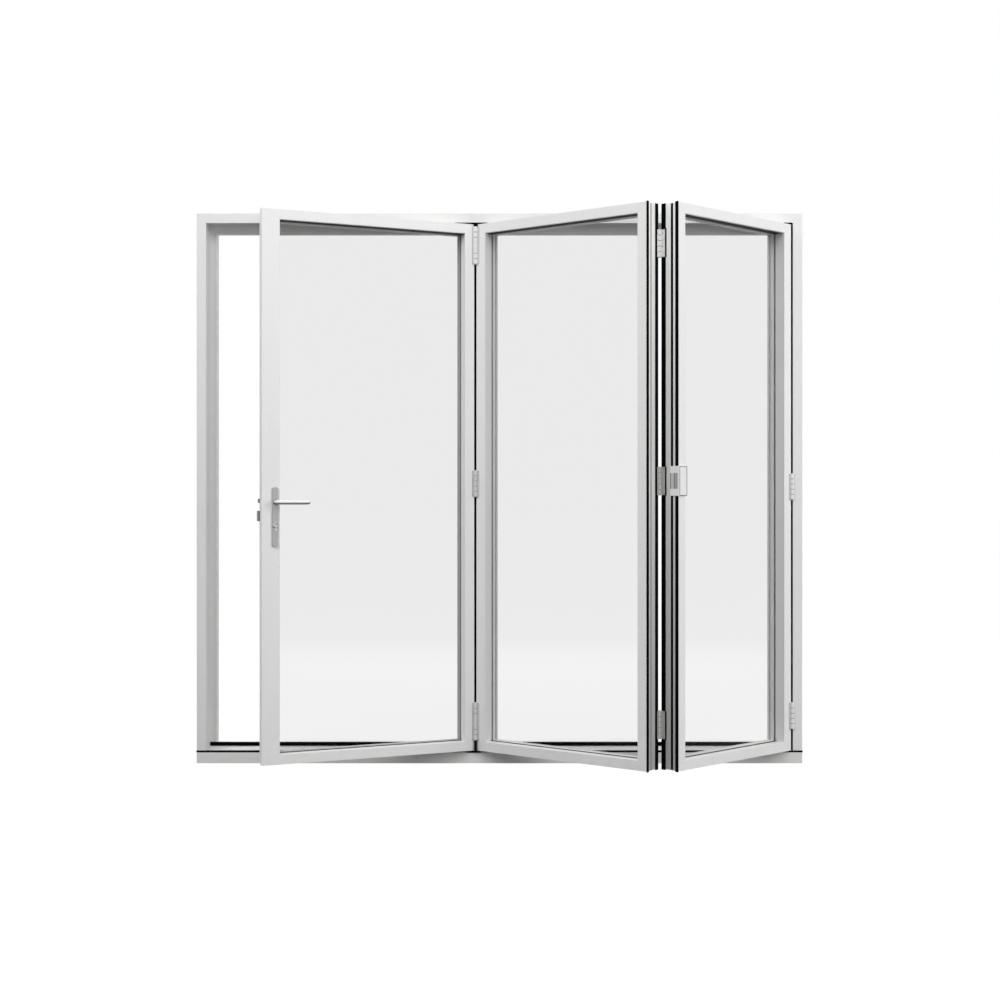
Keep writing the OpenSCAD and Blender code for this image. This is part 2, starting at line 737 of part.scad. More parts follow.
module folding_pull() {
  color(white) at_leaf_3() translate([-leaf_3_w, 0, 0]) {
    box([-pull_t, -pull_t, pull_z0], [pull_w, 0, pull_z1]);
    for (s = pull_spans) box([-pull_t, -join, s[0]], [0, pull_lug_d, s[1]]);
  }
}

cill();
threshold();
bed_strip();
left_jamb();
right_jamb();
head();
stop_seal();
upstand_seal();
leaf_1_lock_stile();
leaf_1_hinge_stile();
leaf_1_top_rail();
leaf_1_bottom_rail();
leaf_1_glass();
leaf_1_glazing_seal();
leaf_1_edge_seal();
leaf_2_left_stile();
leaf_2_right_stile();
leaf_2_top_rail();
leaf_2_bottom_rail();
leaf_2_glass();
leaf_2_glazing_seal();
leaf_2_edge_seal();
leaf_3_left_stile();
leaf_3_right_stile();
leaf_3_top_rail();
leaf_3_bottom_rail();
leaf_3_glass();
leaf_3_glazing_seal();
leaf_3_edge_seal();
top_carriage_hinge();
middle_leaf_hinge();
bottom_carriage_hinge();
upper_fold_hinge();
middle_fold_hinge();
lower_fold_hinge();
upper_jamb_hinge();
lower_jamb_hinge();
top_carriage();
bottom_carriage();
lock_edge_plate();
latch();
deadbolt();
key_cylinder();
front_handle_plate();
back_handle_plate();
lever_handle();
folding_pull();
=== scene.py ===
"""Finishes and small parts of a bifold glass patio door, with a camera and soft studio light."""

from math import cos, pi, radians, sin

import bmesh
import bpy
from bpy.props import FloatProperty, FloatVectorProperty, PointerProperty
from mathutils import Matrix, Vector


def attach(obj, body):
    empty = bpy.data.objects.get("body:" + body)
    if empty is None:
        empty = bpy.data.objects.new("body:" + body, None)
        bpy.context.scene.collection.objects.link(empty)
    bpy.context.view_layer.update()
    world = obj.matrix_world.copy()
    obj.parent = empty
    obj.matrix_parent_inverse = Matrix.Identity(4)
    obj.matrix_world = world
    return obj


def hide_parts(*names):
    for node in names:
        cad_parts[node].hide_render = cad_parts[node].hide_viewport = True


bl_info = {
    "name": "Bifold patio door",
    "version": (1, 0, 0),
    "blender": (4, 5, 0),
    "location": "View3D > Sidebar > Patio Door",
    "description": "Finishes and small parts of a three-leaf bifold patio door",
    "category": "Object",
}

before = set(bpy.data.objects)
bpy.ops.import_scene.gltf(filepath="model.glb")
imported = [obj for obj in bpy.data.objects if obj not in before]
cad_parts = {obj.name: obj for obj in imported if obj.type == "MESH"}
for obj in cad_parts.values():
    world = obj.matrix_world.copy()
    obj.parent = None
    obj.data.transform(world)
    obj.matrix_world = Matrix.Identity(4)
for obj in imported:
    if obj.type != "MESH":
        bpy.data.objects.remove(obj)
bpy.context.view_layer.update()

# Places: millimetres of the construction. A leaf is measured along its width, from its outside face
# inwards and up from the floor, before it is turned to where it stands.

FRAME_D = 108.0
INNER_X = 1143.0
LEAF_W = {1: 842.0, 2: 760.0, 3: 658.0}
LEAF_D = 80.0
LEAF_Z = (50.0, 2099.0)
STILE = 37.0
LOCK_STILE = 68.0
FLOOR_Z = 46.0
LEVER_Z = 1018.0
BACKSET = 50.0
PLATE_T = 8.0
KEY_Z = LEVER_Z - 85.0
HEAD_Z = 2105.0
FRAME_H = 2142.0
LEVER_OUT = 46.0
LEVER_L = 122.0
LOCK_Y = 52.5
PULL_Z = (1041.5, 1148.5)

# Heights of the hinges on each joint, as low and high
JOINT_12 = ((1944.0, 2088.0), (1040.0, 1140.0), (93.0, 237.0))
JOINT_23 = ((1909.0, 2009.0), (1045.0, 1145.0), (159.0, 259.0))
JOINT_JAMB = ((1028.0, 1128.0), (137.0, 237.0))
# Thickness of the hinge plates
PLATE = 2.5
# Pins that the leaves turn on, as X and depth
JOINT_AXIS = (-93.2288, -8.0)
FOLD_AXIS = (582.3798, -383.577)
JAMB_AXIS = (1139.5, -8.0)

AT_FRAME = Matrix.Scale(0.001, 4) @ Matrix.Translation((0, -FRAME_D / 2, 0))


def hung(axis, degrees, gap):
    """The place of a leaf that turns by so many degrees about a pin, which stands in front of it and at
    a gap beside it."""
    turn = Matrix.Rotation(radians(degrees), 4, "Z")
    return AT_FRAME @ Matrix.Translation((*axis, 0)) @ turn @ Matrix.Translation((gap, -axis[1], 0))


AT_LEAF = {
    1: hung(JOINT_AXIS, 23.4, -3.5),
    2: hung(JOINT_AXIS, -36.2043, 3.5),
    3: hung(JAMB_AXIS, 42.2, -3.5),
}
AT_LOCK = AT_LEAF[1] @ Matrix.Translation((-LEAF_W[1], 0, 0))
AT_LEAF_3_EDGE = AT_LEAF[3] @ Matrix.Translation((-LEAF_W[3], 0, 0))
# Each leaf from the low edge of its width
AT_LOW_EDGE = {1: AT_LOCK, 2: AT_LEAF[2], 3: AT_LEAF_3_EDGE}


# Shader maths


class Socket:
    """An output of a node tree. Arithmetic on it adds the Math nodes that work it out."""

    def __init__(self, tree, out):
        self.tree, self.out = tree, out

    def __add__(self, other):
        return self.tree.maths("ADD", self, other)

    __radd__ = __add__

    def __mul__(self, other):
        return self.tree.maths("MULTIPLY", self, other)

    __rmul__ = __mul__

    def __sub__(self, other):
        return self.tree.maths("SUBTRACT", self, other)

    def __rsub__(self, other):
        return self.tree.maths("SUBTRACT", other, self)

    def __truediv__(self, other):
        return self.tree.maths("DIVIDE", self, other)

    def clipped(self):
        """The value held between 0 and 1."""
        return self.tree.node("Clamp", inputs={0: self})

    def larger(self, other):
        return self.tree.maths("MAXIMUM", self, other)


class Tree:
    """The node tree of a material or the world, emptied and ready to be filled."""

    def __init__(self, owner):
        owner.use_nodes = True
        self.nodes, self.links = owner.node_tree.nodes, owner.node_tree.links
        self.nodes.clear()

    def node(self, kind, settings=None, inputs=None, out=0):
        """Adds a node: its type, its settings, then the values or links of its sockets."""
        made = self.nodes.new("ShaderNode" + kind)
        for name, value in (settings or {}).items():
            if name == "stops":
                for element, (position, level) in zip(made.color_ramp.elements, value):
                    element.position, element.color = position, (level, level, level, 1)
            else:
                setattr(made, name, value)
        for key, value in (inputs or {}).items():
            if isinstance(value, Socket):
                self.links.new(value.out, made.inputs[key])
            else:
                made.inputs[key].default_value = value
        return Socket(self, made.outputs[out]) if made.outputs else None

    def maths(self, operation, a, b):
        return self.node("Math", {"operation": operation}, {0: a, 1: b})

    def place(self, stretch=(1, 1, 1)):
        """The surface point in metres, with its axes stretched."""
        point = self.node("TexCoord", out="Object")
        return self.node("VectorMath", {"operation": "MULTIPLY"}, {0: point, 1: stretch})

    def noise(self, scale, detail=2.0, rough=0.5, stretch=(1, 1, 1)):
        vector = self.place(stretch)
        return self.node("TexNoise", None, {
            "Vector": vector, "Scale": scale, "Detail": detail, "Roughness": rough})

    def step(self, value, low, high):
        """A mask that goes from 0 at low to 1 at high."""
        return self.node("ValToRGB", {"stops": ((low, 0.0), (high, 1.0))}, {0: value})

    def blend(self, share, a, b):
        """Colour a with a share of colour b."""
        colours = {6: a if isinstance(a, Socket) else (*a, 1), 7: b if isinstance(b, Socket) else (*b, 1)}
        return self.node("Mix", {"data_type": "RGBA"}, {0: share, **colours}, out=2)

    def bump(self, height, strength, distance):
        return self.node("Bump", None, {"Height": height, "Strength": strength, "Distance": distance})

    def facing_up(self):
        """How far the surface faces up, from 0 on a wall to 1 on a floor."""
        normal = self.node("NewGeometry", out="Normal")
        return self.node("SeparateXYZ", None, {0: normal}, out="Z").clipped()

    def facing_down(self):
        """How far the surface faces down."""
        normal = self.node("NewGeometry", out="Normal")
        return (self.node("SeparateXYZ", None, {0: normal}, out="Z") * -1.0).clipped()

    def height(self):
        return self.node("SeparateXYZ", None, {0: self.place()}, out="Z")

    def surface(self, shader):
        self.node("OutputMaterial", None, {"Surface": shader})


def new_material(name):
    """A new material and its empty tree."""
    material = bpy.data.materials.new(name)
    return material, Tree(material)


def shade(colour, level):
    """The colour made lighter or darker."""
    return tuple(part * level for part in colour)


def powder_paint(name, colour, rough):
    """White powder coat: faint orange peel, drifting tone, dust on ledges and splashes near the ground."""
    material, t = new_material(name)
    drift = t.noise(1.7, 3.0)
    speckle = t.noise(260.0, 3.0, 0.6)
    patches = t.noise(26.0, 5.0, 0.65)
    runs = t.step(t.noise(9.0, 4.0, 0.6, (5, 5, 0.4)), 0.48, 0.78)
    dust = t.facing_up() * (0.35 + 0.65 * patches)
    splash = (1 - t.height() / 0.32).clipped() * t.step(patches, 0.42, 0.72)
    base = t.blend(drift, shade(colour, 0.975), shade(colour, 1.02))
    base = t.blend(speckle * 0.25, base, shade(colour, 0.95))
    base = t.blend(runs * 0.035, base, (0.42, 0.40, 0.36))
    base = t.blend(dust * 0.10, base, (0.50, 0.47, 0.42))
    base = t.blend(splash * 0.07, base, (0.36, 0.33, 0.29))
    roughness = rough + 0.10 * patches + 0.22 * dust + 0.12 * splash
    peel = t.noise(900.0, 2.0)
    normal = t.bump(peel + 0.35 * speckle, 0.10, 0.0002)
    t.surface(t.node("BsdfPrincipled", None, {
        "Base Color": base, "Roughness": roughness, "Normal": normal,
        "Coat Weight": 0.12, "Coat Roughness": 0.18}))
    return material


def rubber(name, colour, rough):
    """Gasket rubber: fine pores, a grey bloom on its high places and drawn lines along its length."""
    material, t = new_material(name)
    bloom = t.step(t.noise(35.0, 5.0, 0.7), 0.45, 0.8)
    pores = t.noise(1400.0, 2.0)
    lines = t.noise(1.0, 2.0, 0.5, (900, 900, 3))
    base = t.blend(bloom * 0.35, colour, shade(colour, 1.6))
    base = t.blend(t.facing_up() * 0.10, base, (0.06, 0.058, 0.054))
    normal = t.bump(pores * 0.4 + lines, 0.18, 0.0002)
    t.surface(t.node("BsdfPrincipled", None, {
        "Base Color": base, "Roughness": rough + 0.15 * bloom, "Normal": normal,
        "Specular IOR Level": 0.03}))
    return material


def metal(name, colour, rough, metallic, stretch, underside_shade=0.0, low_shade=0.0):
    """Brushed metal: grain drawn out along one axis, faint smears and duller patches. It may have painted
    shade on its underside, and painted shade that deepens towards the floor, both for the dark ground it
    mirrors."""
    material, t = new_material(name)
    grain = t.noise(1.0, 3.0, 0.6, stretch)
    smears = t.noise(22.0, 4.0, 0.6)
    worn = t.step(t.noise(60.0, 5.0, 0.7), 0.5, 0.85)
    base = t.blend(grain, shade(colour, 0.88), shade(colour, 1.08))
    base = t.blend(worn * 0.18, base, shade(colour, 0.72))
    if underside_shade:
        # Painted shade: the underside is darkened for the dark ground that the metal would mirror
        base = t.blend(t.step(t.facing_down(), 0.0, 0.35) * underside_shade, base, shade(colour, 0.1))
    if low_shade:
        # Painted shade: darker towards the floor, for the dark ground the bare metal mirrors
        low_down = (1 - t.height() / (0.001 * HEAD_Z)).clipped()
        base = t.blend(low_down * low_shade, base, shade(colour, 0.3))
    roughness = rough + 0.14 * grain + 0.12 * smears
    normal = t.bump(grain, 0.16, 0.00015)
    t.surface(t.node("BsdfPrincipled", None, {
        "Base Color": base, "Roughness": roughness, "Metallic": metallic, "Normal": normal}))
    return material


def plastic(name, colour, rough):
    """Moulded polyamide with a fine matt grain."""
    material, t = new_material(name)
    grain = t.noise(800.0, 3.0, 0.6)
    cloud = t.noise(14.0, 3.0)
    base = t.blend(cloud, shade(colour, 0.9), shade(colour, 1.1))
    t.surface(t.node("BsdfPrincipled", None, {
        "Base Color": base, "Roughness": rough + 0.12 * cloud, "Normal": t.bump(grain, 0.15, 0.0002)}))
    return material


def pane_glass(name, tint, rough):
    """A toned pane: lets light through, mirrors more at a glancing angle, and has faint wiping marks."""
    material, t = new_material(name)
    wipe = t.step(t.noise(3.0, 4.0, 0.55, (1, 1, 0.35)), 0.4, 0.75)
    specks = t.step(t.noise(420.0, 2.0), 0.70, 0.78)
    clear = t.node("BsdfTransparent", None, {"Color": (*tint, 1)})
    gloss = t.node("BsdfGlossy", None, {
        "Color": (1, 1, 1, 1), "Roughness": rough + 0.04 * wipe + 0.05 * specks})
    outside = 1 - t.node("NewGeometry", out="Backfacing")
    mirror = (t.node("Fresnel", None, {"IOR": 1.45}) - 0.04).larger(0) * outside
    t.surface(t.node("MixShader", None, {0: mirror * 0.8 + 0.004 * wipe, 1: clear, 2: gloss}))
    return material


# Meshes


def circle(radius, height, count=24, corners=0):
    """A ring of points, round or with corners such as a hexagon's."""
    points = []
    for i in range(count):
        angle = 2 * pi * i / count
        r = radius
        if corners:
            sector = 2 * pi / corners
            r = radius * cos(sector / 2) / cos((angle % sector) - sector / 2)
        points.append(Vector((r * cos(angle), r * sin(angle), height)))
    return points


def turned(*steps, count=24):
    """Rings for a turned shape from pairs of radius and height."""
    return [circle(radius, height, count) for radius, height in steps]


class Shape:
    """Collects rings of points in millimetres and makes one piece of them."""

    def __init__(self):
        self.mesh = bmesh.new()

    def joined(self, rings, at, closed):
        """Joins rings of equally many points, and if closed also the last one to the first."""
        at = at or Matrix()
        rows = [[self.mesh.verts.new(at @ point) for point in ring] for ring in rings]
        for low, high in zip(rows, rows[1:] + rows[:1] if closed else rows[1:]):
            for i in range(len(low)):
                j = (i + 1) % len(low)
                self.mesh.faces.new((low[i], low[j], high[j], high[i]))
        return rows

    def loft(self, rings, at=None):
        """A skin over rings of points, with both ends closed."""
        rows = self.joined(rings, at, False)
        self.mesh.faces.new(rows[0][::-1])
        self.mesh.faces.new(rows[-1])
        return self

    def ring(self, rings, at=None):
        """A skin over rings of points that comes back to where it starts."""
        self.joined(rings, at, True)
        return self

    def bar(self, low, high, at=None):
        """A bar between two corners."""
        (x0, y0, z0), (x1, y1, z1) = low, high
        ring = ((x0, y0), (x1, y0), (x1, y1), (x0, y1))
        return self.loft([[Vector((x, y, z)) for x, y in ring] for z in (z0, z1)], at)

    def surround(self, outer, inner, y0, y1, at=None):
        """Four mitred bars between two rectangles given as X, Z, X, Z, from depth y0 to y1."""
        (ax, az, bx, bz), (cx, cz, dx, dz) = outer, inner
        out = ((ax, az), (bx, az), (bx, bz), (ax, bz))
        inn = ((cx, cz), (dx, cz), (dx, dz), (cx, dz))
        for i in range(4):
            j = (i + 1) % 4
            corners = (out[i], out[j], inn[j], inn[i])
            self.loft([[Vector((x, y, z)) for x, z in corners] for y in (y0, y1)], at)
        return self

    def piece(self, name, place, body, slot, material, bevel=0.0, replaces=()):
        """Makes the object, in metres, riding on a body and with a material. The slot argument is not
        used.
        """
        bmesh.ops.recalc_face_normals(self.mesh, faces=self.mesh.faces)
        mesh = bpy.data.meshes.new(name)
        self.mesh.to_mesh(mesh)
        self.mesh.free()
        mesh.transform(place)
        mesh.polygons.foreach_set("use_smooth", [True] * len(mesh.polygons))
        mesh.set_sharp_from_angle(angle=radians(35))
        mesh.materials.append(material)
        piece = bpy.data.objects.new(name, mesh)
        bpy.context.scene.collection.objects.link(piece)
        if bevel:
            soften(piece, bevel)
        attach(piece, body)
        if replaces:
            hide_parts(*replaces)
        return piece


def soften(piece, width, segments=2, harden=True):
    """Rounds the sharp edges of a piece by a width in millimetres."""
    bevel = piece.modifiers.new("Rounded edges", "BEVEL")
    bevel.width, bevel.segments = width * 0.001, segments
    bevel.limit_method, bevel.angle_limit = "ANGLE", radians(40)
    bevel.harden_normals = harden


def finish(nodes, material, round_edges=0.0):
    """Gives CAD nodes their material, and rounds their edges a little."""
    for node in nodes:
        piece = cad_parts.get(node)
        if piece is None:
            raise RuntimeError("the packed model has no " + node)
        for slot in piece.material_slots:
            slot.material = material
        if not piece.material_slots:
            piece.data.materials.append(material)
        if round_edges:
            weld = piece.modifiers.new("Joined corners", "WELD")
            weld.merge_threshold = 0.00002
            soften(piece, round_edges, harden=False)
            even = piece.modifiers.new("Flat faces", "WEIGHTED_NORMAL")
            even.mode, even.weight, even.keep_sharp = "FACE_AREA", 100, True


def material_of(name):
    """A material that the finishes step has made."""
    material = bpy.data.materials.get(name)
    if material is None:
        raise RuntimeError("the finishes come first: there is no " + name)
    return material


def nodes_like(*words):
    """The CAD nodes with one of these words in their names."""
    found = [n for n in sorted(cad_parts) if any(word in n for word in words)]
    if not found:
        raise RuntimeError("no node is named like " + ", ".join(words))
    return found


# Settings


def colour_setting(name, description, default):
    return FloatVectorProperty(
        name=name, description=description, subtype="COLOR", size=3, min=0, max=1, default=default)


def share_setting(name, description, default):
    return FloatProperty(
        name=name, description=description, subtype="FACTOR", min=0, max=1, default=default)


def length_setting(name, description, default):
    return FloatProperty(
        name=name, description=description, subtype="DISTANCE", unit="LENGTH", min=0, default=default)


def lamp_setting(name, description, default):
    return FloatProperty(name=name, description=description, unit="POWER", min=0, default=default)


class PatioFinish(bpy.types.PropertyGroup):
    """Colours and gloss of the door's materials."""

    paint: colour_setting("Frame paint", "Powder coat of the outer frame", (0.80, 0.80, 0.795))
    leaf_paint: colour_setting("Leaf paint", "Powder coat of the leaves", (0.88, 0.88, 0.875))
    paint_roughness: share_setting("Paint roughness", "Low is glossy", 0.34)
    cill: colour_setting("Cill", "Powder coat of the cill", (0.80, 0.80, 0.795))
    threshold: colour_setting("Threshold", "Anodised metal of the threshold", (0.93, 0.93, 0.925))
    glass: colour_setting("Glass", "What one face of the glass unit lets through", (0.908, 0.909, 0.908))
    glass_roughness: share_setting("Glass roughness", "How far the glass blurs what it mirrors", 0.02)
    seal: colour_setting("Seals", "Rubber of the seals and the bed strip", (0.0010, 0.0010, 0.0011))
    gasket: colour_setting("Glazing gaskets", "Rubber around the glass", (0.10, 0.10, 0.10))
    stop_seal: colour_setting("Stop seal", "Pale rubber of the seal on the stop", (0.80, 0.80, 0.80))
    seal_roughness: share_setting("Seal roughness", "Low is glossy", 0.58)
    hinge: colour_setting("Hinges", "Satin metal of the hinges and carriages", (0.62, 0.62, 0.61))
    edge: colour_setting("Leaf edges", "Bare metal in the edges of the leaves", (0.97, 0.97, 0.965))
    handle: colour_setting("Handles", "Satin metal of the handles", (0.44, 0.44, 0.435))
    lever: colour_setting("Lever", "Polished metal of the lever and the key rose", (0.95, 0.95, 0.945))
    lock: colour_setting("Lock", "Steel of the latch and the bolt", (0.36, 0.36, 0.37))


class PatioDetails(bpy.types.PropertyGroup):
    """Sizes of the small parts."""

    edge_round: length_setting("Edge radius", "Radius on the edges of the painted profiles", 0.0006)
    screw: length_setting("Screw head", "Radius of the screw heads", 0.0042)
    bead: length_setting("Glazing bead", "Width of the glazing beads on the inside", 0.018)
    rib: length_setting("Tread rib", "Width of the ribs on the threshold", 0.0022)
    rose: length_setting("Lever collar", "Radius of the collar around the lever's neck", 0.0118)


class PatioStage(bpy.types.PropertyGroup):
    """Camera, lamps and floor."""

    distance: length_setting("Camera distance", "From the camera to the frame's front", 5.789)
    height: length_setting("Camera height", "Height of the camera above the floor", 1.032)
    lens: FloatProperty(name="Lens", description="Focal length in millimetres on a 36 mm sensor",
                        unit="CAMERA", min=10, default=53.496)
    key: lamp_setting("Key lamp", "Power of the lamp above the front", 92.0)
    fill: lamp_setting("Fill lamp", "Power of the soft lamp at the right", 127.0)
    left: lamp_setting("Left lamp", "Power of the soft lamp at the left", 94.0)
    back: lamp_setting("Back lamp", "Power of the soft lamp behind", 70.0)
    sky: share_setting("Sky", "Light from above all round", 0.40)
    floor: share_setting("Floor", "How much light the floor throws back", 0.16)


# Operators


class PATIO_OT_finishes(bpy.types.Operator):
    """Make the materials of the door"""

    bl_idname = "patio.finishes"
    bl_label = "Finishes"

    def execute(self, context):
        s = context.scene.patio_finish
        along_z, along_x = (700, 700, 9), (9, 700, 700)
        powder_paint("frame paint", tuple(s.paint), s.paint_roughness)
        powder_paint("leaf paint", tuple(s.leaf_paint), s.paint_roughness)
        powder_paint("cill paint", tuple(s.cill), s.paint_roughness + 0.04)
        metal("threshold metal", tuple(s.threshold), 0.16, 0.1, along_x)
        pane_glass("pane glass", tuple(s.glass), s.glass_roughness)
        rubber("seal rubber", tuple(s.seal), s.seal_roughness)
        rubber("stop rubber", tuple(s.stop_seal), s.seal_roughness)
        rubber("glazing rubber", tuple(s.gasket), s.seal_roughness)
        # A darker copy of the glazing rubber, for the strips of painted shade above and below the glass
        rubber("shadow rubber", shade(tuple(s.gasket), 0.5), s.seal_roughness)
        metal("hinge metal", tuple(s.hinge), 0.34, 0.3, along_z)
        # The lever and the key rose are darkened on their undersides: painted shade
        metal("lever metal", tuple(s.lever), 0.28, 0.2, along_x, 0.9)
        metal("rose metal", shade(tuple(s.lever), 0.70), 0.34, 0.2, along_x, 1.0)
        # The bare leaf edges get painted shade that deepens towards the floor
        metal("edge metal", tuple(s.edge), 0.42, 0.15, along_z, low_shade=0.75)
        plastic("spacer plastic", (0.91, 0.91, 0.91), 0.5)
        # A darker copy of the spacer plastic: painted shade for leaf 1's spacer bar
        plastic("shaded spacer plastic", (0.46, 0.46, 0.46), 0.5)
        metal("handle metal", tuple(s.handle), 0.30, 0.55, along_x)
        rubber("carriage black", (0.002, 0.002, 0.002), 0.7)
        # Dark steel for the folding pull's rim: painted shade along the edge of its plate
        metal("shaded rim steel", (0.13, 0.13, 0.13), 0.5, 0.2, along_z)
        metal("lock metal", tuple(s.lock), 0.38, 0.8, along_z)
        plastic("cap plastic", shade(tuple(s.leaf_paint), 0.92), 0.5)
        # A lighter copy of the white hinge finish for the upper fold hinge, which sits in shade between
        # the leaves: painted light
        powder_paint("lit hinge paint", (0.98, 0.98, 0.975), s.paint_roughness)
        plastic("break plastic", (0.22, 0.22, 0.225), 0.6)
        # Black plastic for the sheet of painted shade behind the folding pull's bars
        plastic("dark plastic", (0.02, 0.02, 0.02), 0.55)
        return {"FINISHED"}


class PATIO_OT_outer_frame(bpy.types.Operator):
    """Finish the jambs, the head and their seals, and cap the fixing holes"""

    bl_idname = "patio.outer_frame"
    bl_label = "Outer frame"

    def execute(self, context):
        d = context.scene.patio_details
        finish(("left_jamb", "right_jamb", "head"), material_of("frame paint"), d.edge_round * 1000)
        finish(("stop_seal",), material_of("stop rubber"), 0.8)
        caps = Shape()
        cap = turned((3.8, -6), (3.8, 0), (6.2, 0), (6.2, 0.5), (5.4, 1.1), (2.5, 1.5))
        depth, low, high, count = 42, FLOOR_Z + 200, FRAME_H - 200, 4
        for side in (-1, 1):
            inward = Matrix.Rotation(-side * pi / 2, 4, "Y")
            for i in range(count):
                spot = Matrix.Translation((side * INNER_X, depth, low + i * (high - low) / (count - 1)))
                caps.loft(cap, spot @ inward)
        caps.piece("fixing_caps", AT_FRAME, "door_frame", "frame_paint", material_of("cap plastic"))
        return {"FINISHED"}


class PATIO_OT_threshold(bpy.types.Operator):
    """Finish the cill, the threshold and the bed strip, and add the ribs underfoot"""

    bl_idname = "patio.threshold"
    bl_label = "Cill and threshold"

    def execute(self, context):
        d = context.scene.patio_details
        finish(("cill",), material_of("cill paint"), d.edge_round * 1000)
        finish(("threshold",), material_of("threshold metal"), 0.6)
        finish(("bed_strip", "upstand_seal"), material_of("seal rubber"), 0.25)
        half, reach = d.rib * 500, INNER_X - 2
        top = half * 0.4
        ring = ((-half, -0.5), (half, -0.5), (half, 0.5), (top, 0.9), (-top, 0.9), (-half, 0.5))
        ribs = Shape()
        for y in (18, 23, 28, 56, 61, 66, 71, 76):
            ribs.loft([[Vector((x, y + a, FLOOR_Z + b)) for a, b in ring] for x in (-reach, reach)])
        ribs.piece("tread_ribs", AT_FRAME, "door_frame", "threshold_metal",
                   material_of("threshold metal"))
        return {"FINISHED"}


class PATIO_OT_leaves(bpy.types.Operator):
    """Finish the leaves and add their glazing beads, spacer bars and dark strips of painted shade along
    the top and the bottom of the glass
    """

    bl_idname = "patio.leaves"
    bl_label = "Leaves"

    def execute(self, context):
        d = context.scene.patio_details
        finish(nodes_like("_stile", "_rail"), material_of("leaf paint"), d.edge_round * 1000)
        finish(nodes_like("_glass"), material_of("pane glass"))
        finish(nodes_like("glazing_seal"), material_of("glazing rubber"), 0.5)
        finish(nodes_like("edge_seal"), material_of("seal rubber"), 0.7)
        bead = d.bead * 1000
        for leaf, width in LEAF_W.items():
            low = LOCK_STILE if leaf == 1 else STILE
            opening = (low, LEAF_Z[0] + STILE, width - STILE, LEAF_Z[1] - STILE)
            outer = (opening[0] - bead, opening[1] - bead, opening[2] + bead, opening[3] + bead)
            lip = (opening[0] + 1.1, opening[1] + 1.1, opening[2] - 1.1, opening[3] - 1.1)
            beads = Shape().surround(outer, opening, LEAF_D - 1, LEAF_D + 1.2)
            beads.surround(opening, lip, 70.1, LEAF_D + 1.2).piece(
                f"leaf_{leaf}_glazing_bead", AT_LOW_EDGE[leaf], "door_frame", "frame_paint",
                material_of("leaf paint"), 0.7)
            edge = (opening[0] + 0.9, opening[1] + 0.9, opening[2] - 0.9, opening[3] - 0.9)
            rim = (opening[0] - 7, opening[1] - 7, opening[2] + 7, opening[3] + 7)
            # Leaf 1's spacer bar is seen in the shadow of its stile and takes the darker copy: painted
            # shade
            spacer = "shaded spacer plastic" if leaf == 1 else "spacer plastic"
            Shape().surround(rim, edge, 50, 67.5).piece(
                f"leaf_{leaf}_spacer_bar", AT_LOW_EDGE[leaf], "door_frame", "frame_paint",
                material_of(spacer), 0.5)
            # Dark strips along the top and the bottom of the glass, deeper than the gaskets at its sides:
            # painted shade in the returns above and below the glass
            strips = Shape()
            glass = 42.6
            for end, way, start in ((opening[3], -1, 12), (opening[1], 1, 33)):
                wedge = ((-0.6, start), (0.9, start + 0.6), (1.4, glass), (-0.6, glass))
                strips.loft([[Vector((x, y, end + way * z)) for z, y in wedge]
                             for x in (opening[0] + 0.3, opening[2] - 0.3)])
            strips.piece(
                f"leaf_{leaf}_shadow_gasket", AT_LOW_EDGE[leaf], "door_frame", "seal_rubber",
                material_of("shadow rubber"))
        return {"FINISHED"}


def between(spans, low, high):
    """The heights that the hinges leave free from low to high, as pairs."""
    ends = [low] + [end for span in sorted(spans) for end in span] + [high]
    return list(zip(ends[::2], ends[1::2]))


